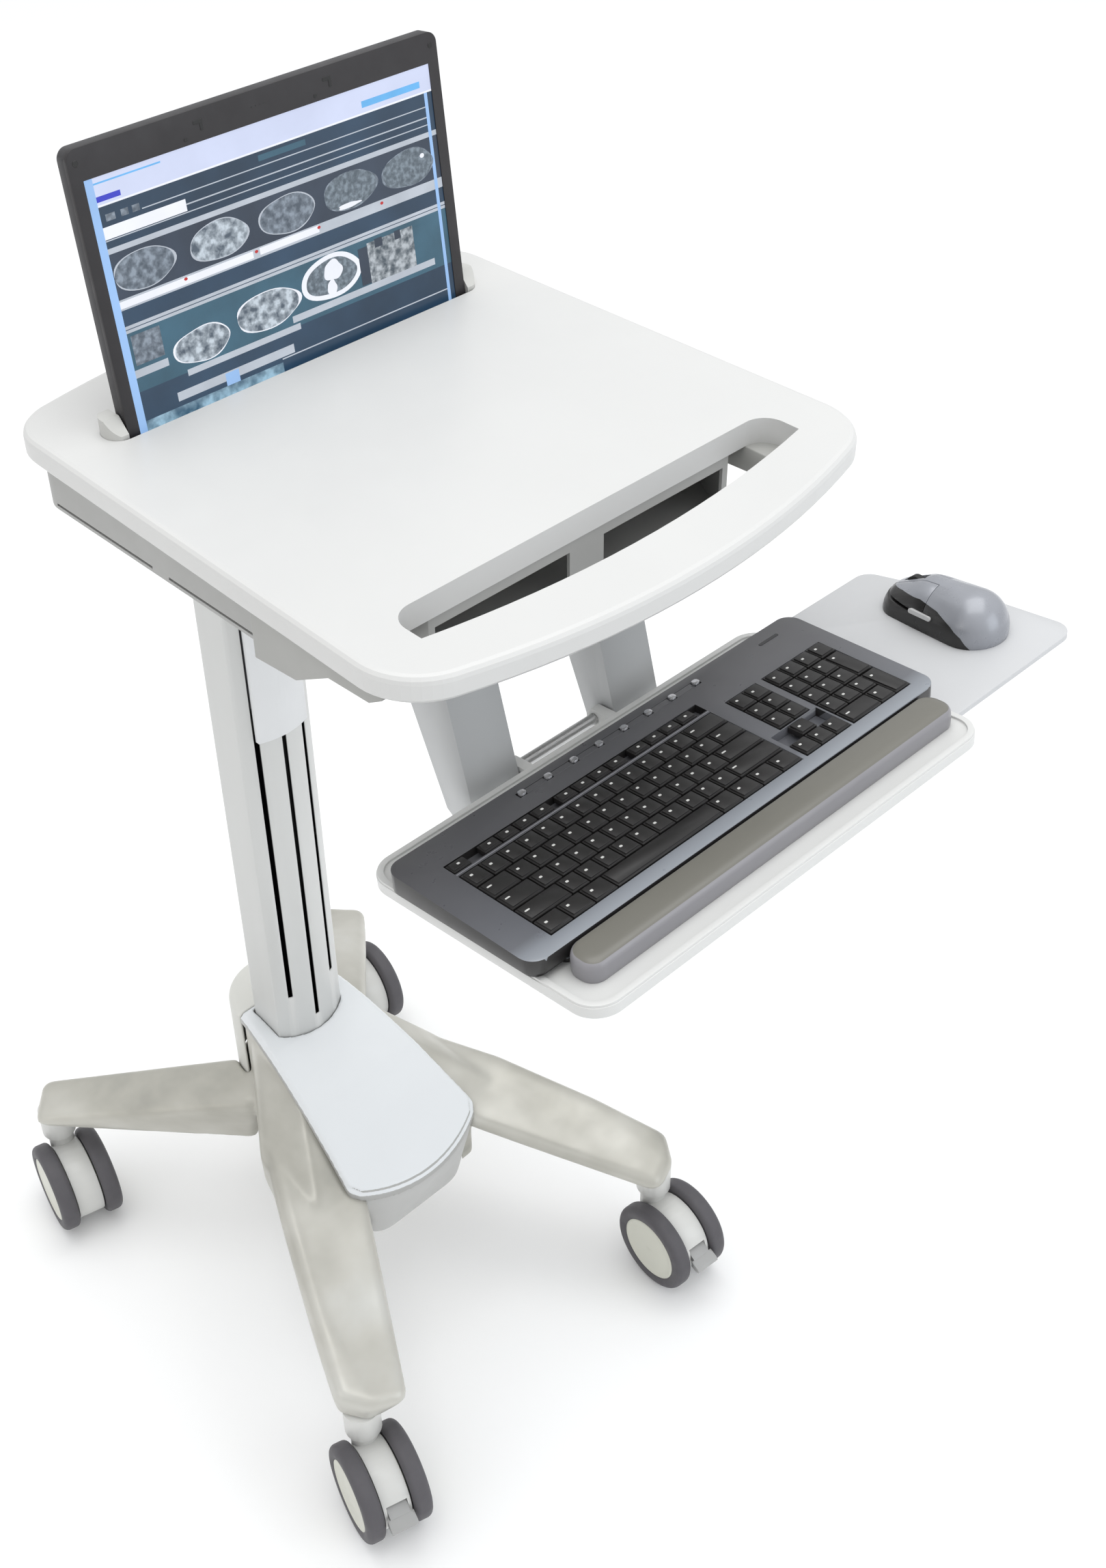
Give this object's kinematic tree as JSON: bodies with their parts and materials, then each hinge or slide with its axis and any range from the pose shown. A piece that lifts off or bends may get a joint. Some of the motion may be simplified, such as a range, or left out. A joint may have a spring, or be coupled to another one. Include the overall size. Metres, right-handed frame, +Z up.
{
  "type": "laptop computer cart",
  "caption": "Height-adjustable rolling computer cart with a laptop in a worktop well, a tilting keyboard tray, a pull-out mouse tray, a lift column and a four-legged caster base.",
  "frame": {"origin": "centre of the bounding box at floor level", "axes": "+X to the user's right, -Y towards the user, +Z up; worktop at its raised stop"},
  "size_m": [0.6906, 0.9356, 1.41],
  "materials": {
    "cast_grey": "polished cast",
    "base_white": "smooth",
    "shell_white": "satin",
    "bin_grey": "satin",
    "column_metal": "anodised satin",
    "cap_plastic": "satin",
    "dark_metal": "black paint",
    "bright_steel": "brushed",
    "cover_white": "satin white",
    "dark_plastic": "matte",
    "worktop_white": "smooth moulded",
    "well_grey": "fine texture",
    "guide_white": "satin",
    "bracket_grey": "powder coat",
    "arm_grey": "powder coat",
    "laptop_dark": "fine texture",
    "bezel_black": "fine texture",
    "screen_glass": "display panel",
    "tray_white": "smooth moulded",
    "keyboard_grey": "satin",
    "media_chrome": "bright",
    "key_black": "fine texture",
    "rest_grey": "smooth gel skin",
    "mouse_tray_white": "satin",
    "mouse_silver": "metallic paint",
    "wheel_black": "ribbed",
    "caster_white": "moulded",
    "pedal_grey": "moulded",
    "tyre_grey": "smooth tread",
    "hub_ivory": "moulded"
  },
  "bodies": {
    "base": {"base_casting": "cast_grey", "base_cover": "shell_white", "base_lid": "base_white", "base_bin": "bin_grey", "column": "column_metal", "column_cap": "cap_plastic", "lift_cylinder": "dark_metal"},
    "carriage": {"lift_rod": "bright_steel", "riser_cover": "cover_white", "riser_sliders": "dark_plastic", "head_bracket": "bright_steel", "worktop": "worktop_white", "laptop_well": "well_grey", "slot_guides": "guide_white", "side_brackets": "bracket_grey", "arm_left": "arm_grey", "arm_right": "arm_grey", "arm_crossbar": "bracket_grey", "laptop_base": "laptop_dark", "screws": "bright_steel"},
    "lever": {"release_lever": "dark_plastic"},
    "lid": {"lid_shell": "laptop_dark", "lid_bezel": "bezel_black", "lid_screen": "screen_glass"},
    "tray": {"keyboard_tray": "tray_white", "tilt_shaft": "bright_steel", "keyboard_case": "keyboard_grey", "wrist_rest": "rest_grey"},
    "media_group": {"media_buttons": "media_chrome"},
    "main_keys": {"keys_main": "key_black"},
    "function_keys": {"keys_function": "key_black"},
    "right_keys": {"keys_right": "key_black"},
    "space_key": {"space_bar": "key_black"},
    "mouse_support": {"mouse_tray": "mouse_tray_white", "mouse_body": "mouse_silver"},
    "mouse_left": {"mouse_left_button": "mouse_silver"},
    "mouse_right": {"mouse_right_button": "mouse_silver"},
    "scroll_wheel": {"mouse_wheel": "wheel_black"},
    "swivel_fl": {"caster_fl": "caster_white"},
    "swivel_fr": {"caster_fr": "caster_white"},
    "swivel_rl": {"caster_rl": "caster_white"},
    "swivel_rr": {"caster_rr": "caster_white"},
    "wheel_fl_left": {"tyre_fl_left": "tyre_grey", "hub_fl_left": "hub_ivory"},
    "wheel_fl_right": {"tyre_fl_right": "tyre_grey", "hub_fl_right": "hub_ivory"},
    "wheel_fr_left": {"tyre_fr_left": "tyre_grey", "hub_fr_left": "hub_ivory"},
    "wheel_fr_right": {"tyre_fr_right": "tyre_grey", "hub_fr_right": "hub_ivory"},
    "wheel_rl_left": {"tyre_rl_left": "tyre_grey", "hub_rl_left": "hub_ivory"},
    "wheel_rl_right": {"tyre_rl_right": "tyre_grey", "hub_rl_right": "hub_ivory"},
    "wheel_rr_left": {"tyre_rr_left": "tyre_grey", "hub_rr_left": "hub_ivory"},
    "wheel_rr_right": {"tyre_rr_right": "tyre_grey", "hub_rr_right": "hub_ivory"},
    "brake_left": {"pedal_left": "pedal_grey"},
    "brake_right": {"pedal_right": "pedal_grey"}
  },
  "joints": [
    {"name": "lift", "type": "slide", "parent": "base", "child": "carriage", "axis": [0, 0, 1], "range_m": [-0.4, 0]},
    {"name": "lid_tilt", "type": "hinge", "parent": "carriage", "child": "lid", "pos_m": [-0.06066, 0.08783, 1.147], "axis": [1, 0, 0], "range_deg": [-12, 3]},
    {"name": "tray_tilt", "type": "hinge", "parent": "carriage", "child": "tray", "pos_m": [-0.06066, -0.20517, 0.953], "axis": [1, 0, 0], "range_deg": [-9, 12]},
    {"name": "lever_pull", "type": "hinge", "parent": "carriage", "child": "lever", "pos_m": [0.01734, -0.31717, 1.162], "axis": [1, 0, 0], "range_deg": [0, 10], "stiffness_Nm_per_rad": 0.4, "springref_deg": -1.15},
    {"name": "mouse_tray_slide", "type": "slide", "parent": "tray", "child": "mouse_support", "axis": [1, 0, 0], "range_m": [-0.05, 0]},
    {"name": "main_keys_press", "type": "slide", "parent": "tray", "child": "main_keys", "axis": [0, 0.1045, 0.9945], "range_m": [-0.002, 0], "stiffness_N_per_m": 1600, "springref_m": 0.002},
    {"name": "function_keys_press", "type": "slide", "parent": "tray", "child": "function_keys", "axis": [0, 0.1045, 0.9945], "range_m": [-0.002, 0], "stiffness_N_per_m": 300, "springref_m": 0.002},
    {"name": "right_keys_press", "type": "slide", "parent": "tray", "child": "right_keys", "axis": [0, 0.1045, 0.9945], "range_m": [-0.002, 0], "stiffness_N_per_m": 800, "springref_m": 0.002},
    {"name": "space_press", "type": "slide", "parent": "tray", "child": "space_key", "axis": [0, 0.1045, 0.9945], "range_m": [-0.002, 0], "stiffness_N_per_m": 250, "springref_m": 0.002},
    {"name": "media_press", "type": "slide", "parent": "tray", "child": "media_group", "axis": [0, 0.1045, 0.9945], "range_m": [-0.0008, 0], "stiffness_N_per_m": 150, "springref_m": 0.001},
    {"name": "mouse_left_click", "type": "hinge", "parent": "mouse_support", "child": "mouse_left", "pos_m": [0.28969, -0.32892, 0.99074], "axis": [0.9962, -0.0867, 0.0091], "range_deg": [-2, 0], "stiffness_Nm_per_rad": 0.3, "springref_deg": 1.15},
    {"name": "mouse_right_click", "type": "hinge", "parent": "mouse_support", "child": "mouse_right", "pos_m": [0.28969, -0.32892, 0.99074], "axis": [0.9962, -0.0867, 0.0091], "range_deg": [-2, 0], "stiffness_Nm_per_rad": 0.3, "springref_deg": 1.15},
    {"name": "scroll_roll", "type": "hinge", "parent": "mouse_support", "child": "scroll_wheel", "pos_m": [0.29222, -0.30066, 0.98325], "axis": [0.9962, -0.0867, 0.0091], "continuous": true},
    {"name": "swivel_fl", "type": "hinge", "parent": "base", "child": "swivel_fl", "pos_m": [-0.28566, -0.13517, 0.116], "axis": [0, 0, 1], "continuous": true},
    {"name": "swivel_fr", "type": "hinge", "parent": "base", "child": "swivel_fr", "pos_m": [0.16434, -0.13517, 0.116], "axis": [0, 0, 1], "continuous": true},
    {"name": "swivel_rl", "type": "hinge", "parent": "base", "child": "swivel_rl", "pos_m": [-0.28566, 0.43583, 0.116], "axis": [0, 0, 1], "continuous": true},
    {"name": "swivel_rr", "type": "hinge", "parent": "base", "child": "swivel_rr", "pos_m": [0.16434, 0.43583, 0.116], "axis": [0, 0, 1], "continuous": true},
    {"name": "roll_fl_left", "type": "hinge", "parent": "swivel_fl", "child": "wheel_fl_left", "pos_m": [-0.29531, -0.16881, 0.055], "axis": [0.9613, -0.2756, 0], "continuous": true},
    {"name": "roll_fl_right", "type": "hinge", "parent": "swivel_fl", "child": "wheel_fl_right", "pos_m": [-0.29531, -0.16881, 0.055], "axis": [0.9613, -0.2756, 0], "continuous": true},
    {"name": "roll_fr_left", "type": "hinge", "parent": "swivel_fr", "child": "wheel_fr_left", "pos_m": [0.16129, -0.17004, 0.055], "axis": [0.9962, -0.0872, 0], "continuous": true},
    {"name": "roll_fr_right", "type": "hinge", "parent": "swivel_fr", "child": "wheel_fr_right", "pos_m": [0.16129, -0.17004, 0.055], "axis": [0.9962, -0.0872, 0], "continuous": true},
    {"name": "roll_rl_left", "type": "hinge", "parent": "swivel_rl", "child": "wheel_rl_left", "pos_m": [-0.29353, 0.40173, 0.055], "axis": [0.9744, -0.225, 0], "continuous": true},
    {"name": "roll_rl_right", "type": "hinge", "parent": "swivel_rl", "child": "wheel_rl_right", "pos_m": [-0.29353, 0.40173, 0.055], "axis": [0.9744, -0.225, 0], "continuous": true},
    {"name": "roll_rr_left", "type": "hinge", "parent": "swivel_rr", "child": "wheel_rr_left", "pos_m": [0.15947, 0.40117, 0.055], "axis": [0.9903, -0.1392, 0], "continuous": true},
    {"name": "roll_rr_right", "type": "hinge", "parent": "swivel_rr", "child": "wheel_rr_right", "pos_m": [0.15947, 0.40117, 0.055], "axis": [0.9903, -0.1392, 0], "continuous": true},
    {"name": "brake_left_press", "type": "hinge", "parent": "swivel_fl", "child": "brake_left", "pos_m": [-0.30578, -0.20534, 0.066], "axis": [0.9613, -0.2756, 0], "range_deg": [0, 12]},
    {"name": "brake_right_press", "type": "hinge", "parent": "swivel_fr", "child": "brake_right", "pos_m": [0.15798, -0.20789, 0.066], "axis": [0.9962, -0.0872, 0], "range_deg": [0, 12]}
  ]
}
